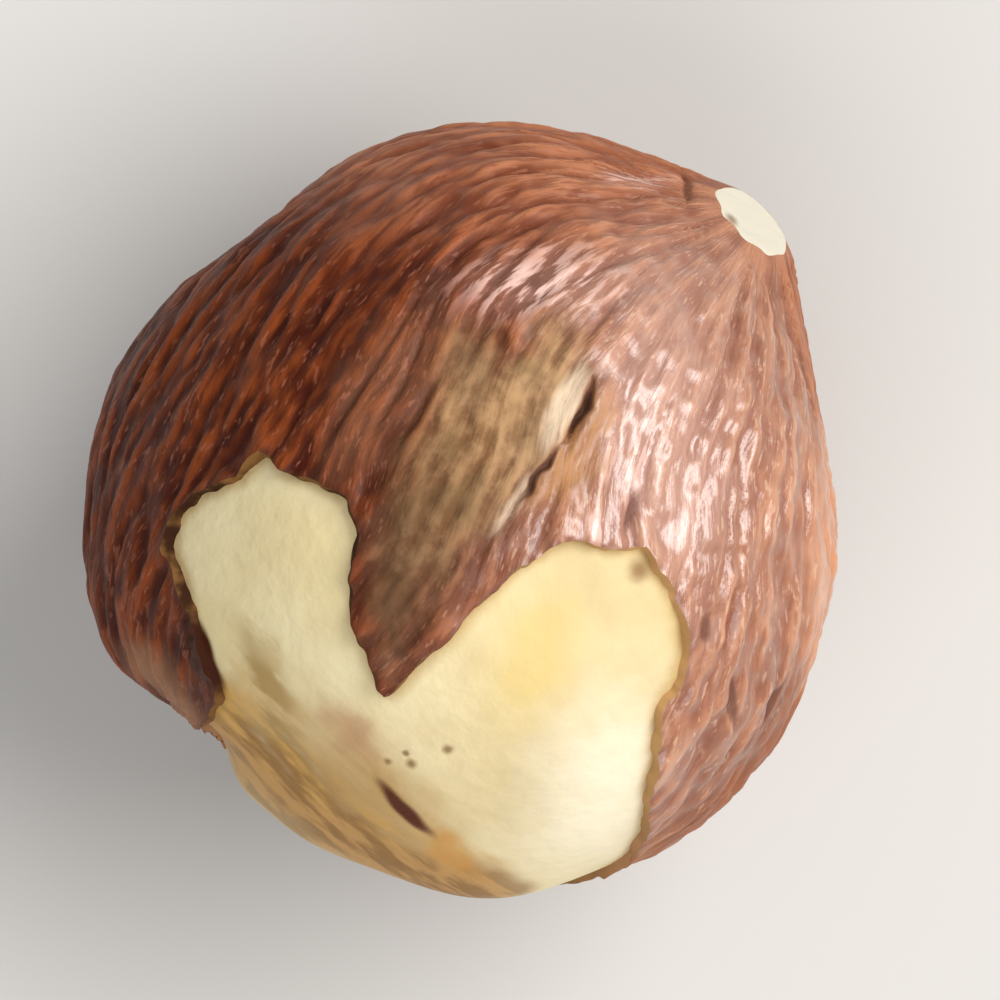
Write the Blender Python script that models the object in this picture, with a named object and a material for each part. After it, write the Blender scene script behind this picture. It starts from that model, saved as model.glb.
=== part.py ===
"""A shelled hazelnut kernel in its thin skin, torn open at the blunt end.

The kernel is one piece. It lies on its side on a small flat spot, with its tip towards +X.
The origin is the middle of that spot, and +Z is up.
"""

import math

import bmesh
import bpy
import numpy as np
from mathutils import Vector, noise

# Every size is in millimetres, and MM turns it into Blender's metres.
MM = 0.001

# The egg that the kernel starts from, as half sizes along, across and up.
HALF_LENGTH = 6.85
HALF_WIDTH = 7.0
HALF_HEIGHT = 6.65

# The slice missing underneath, which leaves the flat spot that the kernel rests on, and how far
# the egg's middle stands from that spot's middle along and across.
REST_SLICE = 0.25
MIDDLE_ALONG = 0.25
MIDDLE_ACROSS = -0.12

# Soft swells and hollows that turn the egg into this kernel: the bearing and elevation of each
# one's middle, its reach in degrees, and its height. A bearing turns from the tip at 0 to the
# kernel's left side at 90. The first is the pointed tip. The others follow the outline seen from
# above, from the tip's left shoulder round the broad blunt end to the hollow right shoulder, and
# the last four keep the upper and the lower side from being too round.
SWELLS = (
    (2.5, 6, 13, 0.71),
    (34, 0, 26, 0.20),
    (88, 0, 15, -0.34),
    (118, 0, 22, 0.46),
    (153, 0, 25, 0.92),
    (157, 0, 13, 0.13),
    (177, 0, 11, -0.42),
    (184, 0, 6, 0.28),
    (195, 0, 15, 0.52),
    (221, 0, 15, 0.40),
    (-124, 0, 37, 0.55),
    (-68, 0, 16, -0.20),
    (-35, 0, 25, -0.54),
    (20, 62, 30, -0.12),
    (200, 50, 34, 0.16),
    (110, -45, 36, 0.14),
    (-20, -58, 30, -0.16),
)

# The tip, where all furrows meet, and the facet beside it where the skin is chipped off square.
# The facet's reach is its distance from the kernel's middle.
TIP_BEARING = 3
TIP_ELEVATION = 9
CHIP_BEARING = 1.5
CHIP_ELEVATION = 22
CHIP_REACH = 7.06

# The skin's thickness shows as the step down to the bare flesh, and its torn edge stands up a little.
SKIN_THICKNESS = 0.18
EDGE_LIFT = 0.05
EDGE_LIFT_WIDTH = 0.45
STEP_WIDTH = 0.10
RAGGEDNESS = 0.10
RAGGED_SIZE = 0.7

# The furrows run from the tip to the blunt end, like lines of longitude that wander. They swirl,
# because they turn round the kernel between these two angles from the tip.
FURROW_DEPTH = 0.09
FURROW_SPACING = 0.80
FURROW_RUN = 3.2
FURROW_SHARPNESS = 0.16
FURROW_WANDER = 0.05
WANDER_SIZE = 2.1
SWIRL_DEGREES = 24
SWIRL_START = 35
SWIRL_END = 108
TIP_SMOOTH_DEGREES = 9

# The kernel's larger unevenness, and the coarse cork that covers one patch of skin.
LUMP_HEIGHT = 0.07
LUMP_SIZE = 2.4
CORK_HEIGHT = 0.07
CORK_GRAIN = 0.55
CORK_FADE = 0.5
CORK_FURROW_SHARE = 0.5

# The crack along the cork patch.
CRACK_DEPTH = 0.34
CRACK_HALF_WIDTH = 0.13
CRACK_LIP = 0.09
CRACK_LIP_WIDTH = 0.50

# A flat map of the skin. Each place is given by its distance along the skin from the topmost
# point, split into a part towards the tip and a part towards the left side. The rim that shows
# from above is about 11 from the middle.
MAP_RADIUS = 7.0

# The window torn in the skin, walked round from its upper lobe by way of the tongue of skin.
WINDOW = (
    (-2.8, 4.1), (-2.8, 3.4), (-2.4, 2.7), (-2.2, 2.0), (-2.6, 1.3), (-3.3, 0.8), (-3.9, 0.1),
    (-4.2, -0.7), (-4.5, -1.4), (-3.1, -1.4), (-1.9, -1.4), (-0.6, -1.3), (0.1, -1.5),
    (0.5, -1.7), (0.9, -2.3), (1.5, -2.8), (1.4, -3.3), (1.3, -3.9), (1.0, -4.6), (0.6, -5.2),
    (0.0, -5.6), (-0.7, -5.9), (-1.5, -6.7), (-2.4, -7.7), (-3.4, -8.5), (-4.5, -9.3),
    (-6.0, -10.2), (-8.2, -9.9), (-10.4, -8.4), (-12.2, -6.0), (-13.2, -3.4), (-13.3, -1.0),
    (-12.2, 0.6), (-10.6, 1.1), (-9.0, 0.8), (-8.0, 1.0), (-7.1, 2.3), (-6.8, 2.9),
    (-6.5, 3.6), (-6.2, 4.3), (-5.6, 4.6), (-4.7, 4.6), (-3.7, 4.1),
)

# The patch of cork, and the crack that runs down it from the wide end to the tongue's edge.
CORK_PATCH = (
    (4.1, 1.9), (2.7, 2.1), (1.8, 3.4), (0.5, 2.5), (-0.6, 2.1), (-1.7, 1.6), (-2.6, 1.2),
    (-3.4, 0.5), (-3.9, -0.3), (-4.3, -1.4), (-1.8, -0.9), (-0.6, -0.8), (0.2, -0.7),
    (1.2, -0.6), (2.3, -0.3), (3.2, 0.3),
)
CRACK = ((3.1, 0.3), (2.6, 0.0), (1.6, -0.2), (0.8, -0.3), (-0.6, -0.6), (-1.9, -0.8), (-3.2, -0.9))

# The mesh is shaped on a fine ball of triangles, then thinned to a number that is quick to use.
BALL_SUBDIVISIONS = 8
KEPT_SHARE = 0.0345

# The skin's colour, as the one finish of the solid.
SKIN_COLOUR = (0.27, 0.095, 0.045, 1.0)
SKIN_ROUGHNESS = 0.45


def clear_scene():
    for old in list(bpy.data.objects):
        bpy.data.objects.remove(old, do_unlink=True)


def new_collection(name):
    collection = bpy.data.collections.new(name)
    bpy.context.scene.collection.children.link(collection)
    return collection


def toward(bearing, elevation):
    """The unit vector at a bearing from the tip and an elevation above level, in degrees."""
    bearing, elevation = math.radians(bearing), math.radians(elevation)
    level = math.cos(elevation)
    return np.array((level * math.cos(bearing), level * math.sin(bearing), math.sin(elevation)))


def angle_from(directions, axis):
    """The angle in radians between each direction and the axis."""
    return np.arccos(np.clip(directions @ axis, -1.0, 1.0))


def body_radius(directions):
    """The distance from the middle to the smooth surface: the egg with its swells and hollows."""
    half_sizes = np.array((HALF_LENGTH, HALF_WIDTH, HALF_HEIGHT))
    radius = 1.0 / np.linalg.norm(directions / half_sizes, axis=1)
    for bearing, elevation, reach, height in SWELLS:
        angle = np.degrees(angle_from(directions, toward(bearing, elevation)))
        radius += height * np.exp(-((angle / reach) ** 2))
    return radius


def skin_map(directions):
    """Each direction's place on the flat map of the skin."""
    distance = MAP_RADIUS * np.arccos(np.clip(directions[:, 2], -1.0, 1.0))
    bearing = np.arctan2(directions[:, 1], directions[:, 0])
    return np.stack((distance * np.cos(bearing), distance * np.sin(bearing)), axis=1)


def distance_to_line(places, line):
    """How far each place on the map is from a chain of points."""
    nearest = np.full(len(places), np.inf)
    for start, end in zip(np.array(line[:-1]), np.array(line[1:])):
        along = end - start
        share = np.clip((places - start) @ along / (along @ along), 0.0, 1.0)
        gap = np.linalg.norm(places - start - share[:, None] * along, axis=1)
        nearest = np.minimum(nearest, gap)
    return nearest


def distance_to_outline(places, outline):
    """How far each place is outside a closed outline, as a negative number where it is inside."""
    closed = outline + outline[:1]
    inside = np.zeros(len(places), dtype=bool)
    for (x0, y0), (x1, y1) in zip(closed[:-1], closed[1:]):
        if y0 == y1:
            continue
        crosses = (places[:, 1] < y0) != (places[:, 1] < y1)
        crossing = x0 + (places[:, 1] - y0) * (x1 - x0) / (y1 - y0)
        inside ^= crosses & (places[:, 0] < crossing)
    gap = distance_to_line(places, closed)
    return np.where(inside, -gap, gap)


def ease(value, start, end):
    """0 before start, 1 after end, and a smooth rise between."""
    share = np.clip((value - start) / (end - start), 0.0, 1.0)
    return share * share * (3.0 - 2.0 * share)


def grain_noise(points, size):
    """Smooth noise at each point in space, with grains of about this size."""
    return np.array([noise.noise(Vector(point) / size) for point in points])


def furrows(directions):
    """1 in the bottom of a furrow and 0 between furrows, on lines that meet at the tip and swirl."""
    axis = toward(TIP_BEARING, TIP_ELEVATION)
    side = np.cross((0.0, 0.0, 1.0), axis)
    side /= np.linalg.norm(side)
    from_tip = angle_from(directions, axis)
    around = np.arctan2(directions @ side, directions @ np.cross(axis, side))
    around += FURROW_WANDER * grain_noise(directions * MAP_RADIUS, WANDER_SIZE)
    around += np.radians(SWIRL_DEGREES) * ease(np.degrees(from_tip), SWIRL_START, SWIRL_END)
    across = MAP_RADIUS / FURROW_SPACING
    lanes = np.stack(
        (across * np.cos(around), across * np.sin(around), from_tip * MAP_RADIUS / FURROW_RUN),
        axis=1,
    )
    depth = np.exp(-((grain_noise(lanes, 1.0) / FURROW_SHARPNESS) ** 2))
    return depth * ease(np.degrees(from_tip), 0.0, TIP_SMOOTH_DEGREES)


def surface_height(directions):
    """How far the real surface stands above the smooth body, or below it where negative."""
    points = directions * MAP_RADIUS
    places = skin_map(directions)
    tear = distance_to_outline(places, WINDOW) + RAGGEDNESS * grain_noise(points, RAGGED_SIZE)
    skin = ease(tear, -STEP_WIDTH / 2, STEP_WIDTH / 2)
    height = LUMP_HEIGHT * grain_noise(points, LUMP_SIZE)
    height -= SKIN_THICKNESS * (1.0 - skin)
    height += EDGE_LIFT * skin * (1.0 - ease(tear, 0.0, EDGE_LIFT_WIDTH))
    cork = skin * (1.0 - ease(distance_to_outline(places, CORK_PATCH), -CORK_FADE, 0.0))
    height -= FURROW_DEPTH * skin * (1.0 - CORK_FURROW_SHARE * cork) * furrows(directions)
    height += CORK_HEIGHT * cork * grain_noise(points, CORK_GRAIN)
    crack = distance_to_line(places, CRACK)
    height += CRACK_LIP * skin * (1.0 - ease(crack, CRACK_HALF_WIDTH, CRACK_LIP_WIDTH))
    height -= (CRACK_DEPTH + CRACK_LIP) * skin * (1.0 - ease(crack, 0.0, CRACK_HALF_WIDTH))
    return height


def chip_tip(points):
    """Moves what stands past the facet beside the tip back onto it."""
    axis = toward(CHIP_BEARING, CHIP_ELEVATION)
    past = np.maximum(points @ axis - CHIP_REACH, 0.0)
    return points - past[:, None] * axis


def skin_material():
    material = bpy.data.materials.new("hazelnut_skin")
    material.use_nodes = True
    shader = material.node_tree.nodes["Principled BSDF"]
    shader.inputs["Base Color"].default_value = SKIN_COLOUR
    shader.inputs["Roughness"].default_value = SKIN_ROUGHNESS
    shader.inputs["Metallic"].default_value = 0.0
    return material


def make_kernel(collection):
    """The kernel: a ball of triangles, each point moved out to the real surface."""
    ball = bmesh.new()
    bmesh.ops.create_icosphere(ball, subdivisions=BALL_SUBDIVISIONS, radius=1.0)
    directions = np.array([vertex.co.normalized() for vertex in ball.verts])
    reach = body_radius(directions) + surface_height(directions)
    points = chip_tip(directions * reach[:, None])
    points += (MIDDLE_ALONG, MIDDLE_ACROSS, HALF_HEIGHT - REST_SLICE)
    for vertex, point in zip(ball.verts, points):
        vertex.co = point * MM
    mesh = bpy.data.meshes.new("kernel")
    ball.to_mesh(mesh)
    ball.free()
    mesh.shade_smooth()
    mesh.materials.append(skin_material())
    kernel = bpy.data.objects.new("kernel", mesh)
    collection.objects.link(kernel)
    thin = kernel.modifiers.new("Fewer triangles", "DECIMATE")
    thin.ratio = KEPT_SHARE
    return kernel


def slice_flat_spot(kernel, collection):
    """Cuts the kernel level at its lowest point, with a box whose top is the floor."""
    side = 4 * HALF_LENGTH * MM  # wider than the kernel all round
    bpy.ops.mesh.primitive_cube_add(size=side, location=(0.0, 0.0, -side / 2))
    cutter = bpy.context.active_object
    cutter.name = "floor_cutter"
    for owner in list(cutter.users_collection):
        owner.objects.unlink(cutter)
    collection.objects.link(cutter)
    cutter.hide_render = True
    cutter.display_type = "WIRE"
    level = kernel.modifiers.new("Flat spot", "BOOLEAN")
    level.operation = "DIFFERENCE"
    level.solver = "EXACT"
    level.object = cutter


def main():
    clear_scene()
    parts = new_collection("hazelnut")
    cutters = new_collection("cutters")
    kernel = make_kernel(parts)
    slice_flat_spot(kernel, cutters)


main()
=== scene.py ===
# %% [markdown]
# # One shelled hazelnut, lying on its side
#
# The real thing is a kernel about 15 mm long, taken out of its hard shell. A thin brown skin grew
# on it, furrowed from the tip to the blunt end, and a window torn in that skin shows the cream
# flesh. A ball with a picture wrapped round it would be quicker to make, but its furrows would
# not catch the light and its tear would have no edge. So this notebook shapes one closed body,
# the way the kernel grew, and only then mixes a finish for the skin and one for the flesh.

# %% Load the packed kernel, which stays where it is
import math

import bmesh
import bpy
import numpy as np
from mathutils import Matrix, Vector, noise


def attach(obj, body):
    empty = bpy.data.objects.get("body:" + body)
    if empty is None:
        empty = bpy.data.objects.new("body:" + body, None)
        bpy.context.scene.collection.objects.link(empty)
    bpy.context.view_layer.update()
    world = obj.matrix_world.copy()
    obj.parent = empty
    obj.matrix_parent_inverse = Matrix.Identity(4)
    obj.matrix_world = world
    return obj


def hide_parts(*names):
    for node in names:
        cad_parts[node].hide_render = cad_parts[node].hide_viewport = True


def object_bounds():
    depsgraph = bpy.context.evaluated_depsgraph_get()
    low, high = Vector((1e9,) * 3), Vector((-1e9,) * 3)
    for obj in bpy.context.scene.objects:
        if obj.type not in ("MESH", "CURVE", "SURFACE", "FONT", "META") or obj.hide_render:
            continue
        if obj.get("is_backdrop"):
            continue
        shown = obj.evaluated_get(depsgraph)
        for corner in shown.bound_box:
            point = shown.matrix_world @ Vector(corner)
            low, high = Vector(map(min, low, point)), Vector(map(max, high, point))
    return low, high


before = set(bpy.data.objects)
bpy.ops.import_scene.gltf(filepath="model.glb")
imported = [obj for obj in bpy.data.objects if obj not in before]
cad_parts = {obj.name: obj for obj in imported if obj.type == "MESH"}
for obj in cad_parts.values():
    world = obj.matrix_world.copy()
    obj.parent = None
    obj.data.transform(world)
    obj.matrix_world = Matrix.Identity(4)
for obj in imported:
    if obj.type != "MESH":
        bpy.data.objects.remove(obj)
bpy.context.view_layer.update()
MM = 0.001

# %% [markdown]
# ## The body under the skin
#
# Seen from above, the kernel is a broad egg with a blunt end, two uneven shoulders and a small
# pointed tip. It could be sculpted by hand, but then nobody could change one shoulder later.
# Here it is an egg with a few soft swells and hollows, each set by where it is, how far it
# reaches and how high it stands. Bearings turn from the tip at 0 to the left side at 90.

# %% Set the egg and its swells
HALF_LENGTH, HALF_WIDTH, HALF_HEIGHT = 6.85, 7.0, 6.65
REST_SLICE = 0.25
MIDDLE = (0.25, -0.12, HALF_HEIGHT - REST_SLICE)
SWELLS = (
    (2.5, 6, 13, 0.71),
    (34, 0, 26, 0.20),
    (88, 0, 15, -0.34),
    (118, 0, 22, 0.46),
    (153, 0, 25, 0.92),
    (157, 0, 13, 0.13),
    (177, 0, 11, -0.42),
    (184, 0, 6, 0.28),
    (195, 0, 15, 0.52),
    (221, 0, 15, 0.40),
    (-124, 0, 37, 0.55),
    (-68, 0, 16, -0.20),
    (-35, 0, 25, -0.54),
    (20, 62, 30, -0.12),
    (200, 50, 34, 0.16),
    (110, -45, 36, 0.14),
    (-20, -58, 30, -0.16),
)
print("the body is made of an egg and", len(SWELLS), "swells")

# %% Measure the smooth body


def toward(bearing, elevation):
    """The unit vector at a bearing from the tip and an elevation above level, in degrees."""
    bearing, elevation = math.radians(bearing), math.radians(elevation)
    level = math.cos(elevation)
    return np.array((level * math.cos(bearing), level * math.sin(bearing), math.sin(elevation)))


def angle_from(directions, axis):
    """The angle in radians between each direction and the axis."""
    return np.arccos(np.clip(directions @ axis, -1.0, 1.0))


def body_radius(directions):
    """The distance in mm from the middle to the smooth body."""
    half_sizes = np.array((HALF_LENGTH, HALF_WIDTH, HALF_HEIGHT))
    radius = 1.0 / np.linalg.norm(directions / half_sizes, axis=1)
    for bearing, elevation, reach, height in SWELLS:
        angle = np.degrees(angle_from(directions, toward(bearing, elevation)))
        radius += height * np.exp(-((angle / reach) ** 2))
    return radius


print("from the middle to the tip, in mm:", round(body_radius(toward(0, 0)[None])[0], 2))

# %% [markdown]
# ## A map of the skin
#
# The tear, the cork patch and the crack are easiest to draw flat. On this map a place is its
# distance along the skin from the topmost point, split into a part towards the tip and a part
# towards the left side. Everything that shows from above is within 11 mm of the middle, and
# what lies farther out is on the underside.

# %% Draw the window, the cork patch and the crack
MAP_RADIUS = 7.0
WINDOW = (
    (-2.8, 4.1), (-2.8, 3.4), (-2.4, 2.7), (-2.1, 2.0), (-2.5, 1.3), (-3.2, 0.7), (-3.8, 0.1),
    (-4.1, -0.7), (-4.4, -1.4), (-3.1, -1.4), (-1.9, -1.4), (-0.6, -1.3), (0.1, -1.5),
    (0.5, -1.7), (0.9, -2.3), (1.5, -2.8), (1.4, -3.3), (1.3, -3.9), (1.0, -4.6), (0.7, -5.2),
    (0.1, -5.6), (-0.7, -5.9), (-1.5, -6.7), (-2.4, -7.7), (-3.1, -8.6), (-4.1, -9.4),
    (-6.0, -10.2), (-8.2, -9.9), (-10.4, -8.4), (-12.2, -6.0), (-13.2, -3.4), (-13.3, -1.0),
    (-12.2, 0.6), (-10.6, 1.1), (-9.0, 0.8), (-8.0, 1.0), (-7.1, 2.3), (-6.8, 2.9),
    (-6.5, 3.6), (-6.2, 4.3), (-5.6, 4.6), (-4.7, 4.6), (-3.7, 4.1),
)
CORK_PATCH = (
    (4.1, 1.9), (2.7, 2.1), (1.8, 3.4), (0.5, 2.5), (-0.6, 2.1), (-1.7, 1.6), (-2.6, 1.2),
    (-3.4, 0.5), (-3.9, -0.3), (-4.3, -1.4), (-1.8, -0.9), (-0.6, -0.8), (0.2, -0.7),
    (1.2, -0.6), (2.3, -0.3), (3.2, 0.3),
)
CRACK = (
    (3.1, 0.3), (2.6, 0.0), (1.6, -0.2), (0.8, -0.3), (-0.6, -0.6), (-1.9, -0.8), (-3.2, -0.9),
)
print("the window has", len(WINDOW), "corners and the cork patch", len(CORK_PATCH))

# %% Measure distances on the map


def skin_map(directions):
    """Each direction's place on the flat map of the skin."""
    distance = MAP_RADIUS * np.arccos(np.clip(directions[:, 2], -1.0, 1.0))
    bearing = np.arctan2(directions[:, 1], directions[:, 0])
    return np.stack((distance * np.cos(bearing), distance * np.sin(bearing)), axis=1)


def distance_to_line(places, line):
    """How far each place on the map is from a chain of points."""
    nearest = np.full(len(places), np.inf)
    for start, end in zip(np.array(line[:-1]), np.array(line[1:])):
        along = end - start
        share = np.clip((places - start) @ along / (along @ along), 0.0, 1.0)
        gap = np.linalg.norm(places - start - share[:, None] * along, axis=1)
        nearest = np.minimum(nearest, gap)
    return nearest


def distance_to_outline(places, outline):
    """How far each place is outside a closed outline, as a negative number where it is inside."""
    closed = outline + outline[:1]
    inside = np.zeros(len(places), dtype=bool)
    for (x0, y0), (x1, y1) in zip(closed[:-1], closed[1:]):
        if y0 == y1:
            continue
        crosses = (places[:, 1] < y0) != (places[:, 1] < y1)
        crossing = x0 + (places[:, 1] - y0) * (x1 - x0) / (y1 - y0)
        inside ^= crosses & (places[:, 0] < crossing)
    gap = distance_to_line(places, closed)
    return np.where(inside, -gap, gap)


cork_middle = np.mean(CORK_PATCH, axis=0)[None]
print("from the cork patch to the tear, in mm:", round(distance_to_outline(cork_middle, WINDOW)[0], 2))

# %% [markdown]
# ## The furrows and their streaks
#
# Real skin shrinks as the kernel dries, so it folds into furrows that start at the tip and swirl
# round to the blunt end. Blender's Displace modifier could lift the surface from a texture, but a
# texture can't follow lines that swirl. So each point asks smooth noise for its height, in
# coordinates that follow the furrows. The fine streaks between them are made as a brush makes
# them: noise is smeared a short way along the furrow, which keeps them equally fine all over.

# %% Make the noise that the relief comes from


def ease(value, start, end):
    """0 before start, 1 after end, and a smooth rise between."""
    share = np.clip((value - start) / (end - start), 0.0, 1.0)
    return share * share * (3.0 - 2.0 * share)


def grain_noise(points, size):
    """Smooth noise at each point in space, with grains of about this size."""
    return np.array([noise.noise(Vector(point) / size) for point in points])


print("halfway, ease gives", ease(0.5, 0.0, 1.0))

# %% Set the furrows
TIP = toward(3, 9)
FURROW_DEPTH, FURROW_SPACING, FURROW_RUN, FURROW_SHARPNESS = 0.09, 0.80, 3.2, 0.16
FURROW_WANDER, WANDER_SIZE = 0.05, 2.1
SWIRL_DEGREES, SWIRL_START, SWIRL_END = 24, 35, 108
TIP_SMOOTH_DEGREES = 9


def lanes(directions):
    """Coordinates in mm that turn round the kernel across the furrows, and grow along them."""
    side = np.cross((0.0, 0.0, 1.0), TIP)
    side /= np.linalg.norm(side)
    from_tip = angle_from(directions, TIP)
    around = np.arctan2(directions @ side, directions @ np.cross(TIP, side))
    around += FURROW_WANDER * grain_noise(directions * MAP_RADIUS, WANDER_SIZE)
    around += np.radians(SWIRL_DEGREES) * ease(np.degrees(from_tip), SWIRL_START, SWIRL_END)
    return MAP_RADIUS * np.stack((np.cos(around), np.sin(around), from_tip), axis=1)


def furrows(directions):
    """1 in the bottom of a furrow and 0 between furrows."""
    grain = lanes(directions) / (FURROW_SPACING, FURROW_SPACING, FURROW_RUN)
    depth = np.exp(-((grain_noise(grain, 1.0) / FURROW_SHARPNESS) ** 2))
    return depth * ease(np.degrees(angle_from(directions, TIP)), 0.0, TIP_SMOOTH_DEGREES)


print("furrows are", FURROW_DEPTH, "mm deep and swirl by", SWIRL_DEGREES, "degrees")

# %% Smear noise into streaks
STREAK_BEND, BEND_SHIFT = 0.02, 90.0
STREAK_DEPTH, STREAK_SIZE, STREAK_REACH, STREAK_STEPS = 0.024, 0.27, 0.50, 4


def step_along(directions, step):
    """Each direction moved a step in radians along its furrow, away from the tip."""
    from_tip = np.degrees(angle_from(directions, TIP))
    share = np.clip((from_tip - SWIRL_START) / (SWIRL_END - SWIRL_START), 0.0, 1.0)
    away = directions * (directions @ TIP)[:, None] - TIP
    distance = np.maximum(np.linalg.norm(away, axis=1), 1e-6)[:, None]
    slope = 6.0 * share * (1.0 - share) * SWIRL_DEGREES / (SWIRL_END - SWIRL_START)
    flow = away / distance + slope[:, None] * np.cross(directions, away)
    flow /= np.linalg.norm(flow, axis=1)[:, None]
    moved = directions + step * flow
    return moved / np.linalg.norm(moved, axis=1)[:, None]


def streaks(directions):
    """Noise smeared along the furrows, about 1 high on a crest and 1 deep in a trough."""
    bend = STREAK_BEND * grain_noise(directions * MAP_RADIUS + BEND_SHIFT, 1.0)
    bent = directions + bend[:, None] * np.cross(directions, TIP)
    total = grain_noise(bent * MAP_RADIUS, STREAK_SIZE)
    for way in (-1, 1):
        place = bent / np.linalg.norm(bent, axis=1)[:, None]
        for _ in range(STREAK_STEPS):
            place = step_along(place, way * STREAK_REACH / STREAK_STEPS / MAP_RADIUS)
            total += grain_noise(place * MAP_RADIUS, STREAK_SIZE)
    return total / total.std()


print("streaks are about", STREAK_DEPTH, "mm deep and", STREAK_SIZE, "mm wide")

# %% [markdown]
# ## Cork, crack, creases and the torn edge
#
# The other relief belongs to places on the map. The cork patch is coarse, and a crack runs along
# it that gapes in two places. A few creases are deep enough to see one by one. Along the tear the
# skin stands up a little. Modelling each by hand would be slow to change, so each is a line on
# the map, or a blot that tapers to its two ends, with a width and a depth.

# %% Make the pens that draw on the map


def nearness(places, line, reach):
    """1 on a line, 0 farther off than the reach, and a smooth fall between."""
    return 1.0 - ease(distance_to_line(places, line), 0.0, reach)


def blot(places, ends, half_width):
    """1 in the middle of a blot that tapers to its two ends, and 0 outside it."""
    start, end = np.array(ends)
    half = (end - start) / 2
    offset = places - (start + end) / 2
    along = offset @ half / (half @ half)
    across = offset @ (-half[1], half[0]) / np.linalg.norm(half) / half_width
    return 1.0 - ease(np.hypot(along, across), 0.2, 1.0)


print("a blot is", blot(np.zeros((1, 2)), ((-1, 0), (1, 0)), 1.0)[0], "in its middle")

# %% Set the torn edge
SKIN_THICKNESS = 0.18
EDGE_LIFT, EDGE_LIFT_WIDTH = 0.05, 0.45
RAGGEDNESS, RAGGED_SIZE = 0.10, 0.7
FRAY, FRAY_SIZE = 0.035, 0.22
EDGE_WIDTH, LEAST_EDGE_WIDTH = 0.055, 0.02
EDGE_UNEVENNESS, UNEVEN_SIZE, UNEVEN_SHIFT = 0.10, 0.45, 20.0
WIDE_EDGE, WIDE_EDGE_REACH, WIDE_EDGE_GAIN = ((-1.2, 3.1), (-5.2, -2.5)), 0.6, 0.13


def tear_field(directions):
    """How far each direction is from the torn edge: more than 0 on skin, less on bare flesh."""
    points = directions * MAP_RADIUS
    ragged = RAGGEDNESS * grain_noise(points, RAGGED_SIZE) + FRAY * grain_noise(points, FRAY_SIZE)
    return distance_to_outline(skin_map(directions), WINDOW) + ragged


def edge_width(directions):
    """How wide the torn edge is in each direction, seen from above."""
    uneven = EDGE_UNEVENNESS * grain_noise(directions * MAP_RADIUS + UNEVEN_SHIFT, UNEVEN_SIZE)
    wide = WIDE_EDGE_GAIN * blot(skin_map(directions), WIDE_EDGE, WIDE_EDGE_REACH)
    return np.maximum(EDGE_WIDTH + uneven, LEAST_EDGE_WIDTH) + wide


print("the skin is", SKIN_THICKNESS, "mm thick at the tear")

# %% Set the crack, which gapes in two places
CRACK_DEPTH, CRACK_LIP, CRACK_LIP_START, CRACK_LIP_END = 0.24, 0.09, 0.13, 0.50
CRACK_WOBBLE, CRACK_WOBBLE_SIZE = 0.16, 0.4
SHUT_HALF_WIDTH, GAPE_GAIN, SHUT_SHARE = 0.04, 0.10, 0.35
GAPES = (((3.1, 0.4), (1.9, -0.3), 1.0), ((1.8, -0.2), (0.0, -0.5), 0.55))
GAPE_REACH = 0.5


def gape(places):
    """1 where the crack gapes widest, and 0 where it is shut."""
    wide = [share * blot(places, (start, end), GAPE_REACH) for start, end, share in GAPES]
    return np.max(wide, axis=0)


def crack_field(directions):
    """How far each direction is from the crack, as a share of the crack's half width there."""
    places = skin_map(directions)
    wobble = CRACK_WOBBLE * grain_noise(directions * MAP_RADIUS, CRACK_WOBBLE_SIZE)
    half_width = SHUT_HALF_WIDTH + GAPE_GAIN * gape(places)
    return distance_to_line(places + wobble[:, None], CRACK) / half_width


print("the crack is up to", CRACK_DEPTH, "mm deep")

# %% Set the cork, the lumps and the creases
LUMP_HEIGHT, LUMP_SIZE = 0.07, 2.4
CORK_HEIGHT, CORK_GRAIN, CORK_FADE = 0.07, 0.55, 0.5
CORK_PIT_DEPTH, CORK_PIT_SIZE = 0.03, 0.2
CORK_FURROW_SHARE = 0.5
WRINKLE_HEIGHT, WRINKLE_SIZE = 0.065, 0.42
CREASE_DEPTH, CREASE_WIDTH = 0.08, 0.20
CREASES = (
    ((10.2, 3.1), (8.2, 1.7)),
    ((1.7, -4.7), (1.0, -5.5)),
    ((1.3, -6.1), (0.1, -8.0)),
    ((2.5, -7.8), (0.3, -8.8)),
    ((2.4, -1.8), (1.2, -2.5)),
    ((2.7, 2.5), (2.0, 2.0)),
    ((0.0, 2.4), (-1.3, 2.2)),
)
print(len(CREASES), "creases are up to", CREASE_DEPTH, "mm deep")

# %% [markdown]
# ## A ball of even cells
#
# Blender's own sphere crowds its faces at two poles, where they would pinch the furrows. A cube
# that is cut into a grid and blown up has cells of nearly one size all over, so it is the better
# blank. Close to the torn edge and the crack, where detail is finest, the cells are halved once.

# %% Make the blank
CELLS = 116
FINE_REACH = 0.22


def directions_of(ball):
    """The ball's points as rows of numbers, each a direction from the middle."""
    ball.verts.index_update()
    return np.array([vertex.co[:] for vertex in ball.verts])


def quad_ball(cells):
    """A cube cut into cells x cells squares a side, and blown up to a ball."""
    ball = bmesh.new()
    bmesh.ops.create_cube(ball, size=2.0)
    bmesh.ops.subdivide_edges(ball, edges=ball.edges[:], cuts=cells - 1, use_grid_fill=True)
    for vertex in ball.verts:
        vertex.co = Vector(math.tan(math.pi / 4 * side) for side in vertex.co).normalized()
    return ball


def halve_cells(ball, distance):
    """Halves the cells whose corners all lie within reach of a line, given each one's distance."""
    near = np.abs(distance) < FINE_REACH
    edges = [e for e in ball.edges if near[e.verts[0].index] and near[e.verts[1].index]]
    bmesh.ops.subdivide_edges(ball, edges=edges, cuts=1, use_grid_fill=True)
    for vertex in ball.verts:
        vertex.co.normalize()


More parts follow.
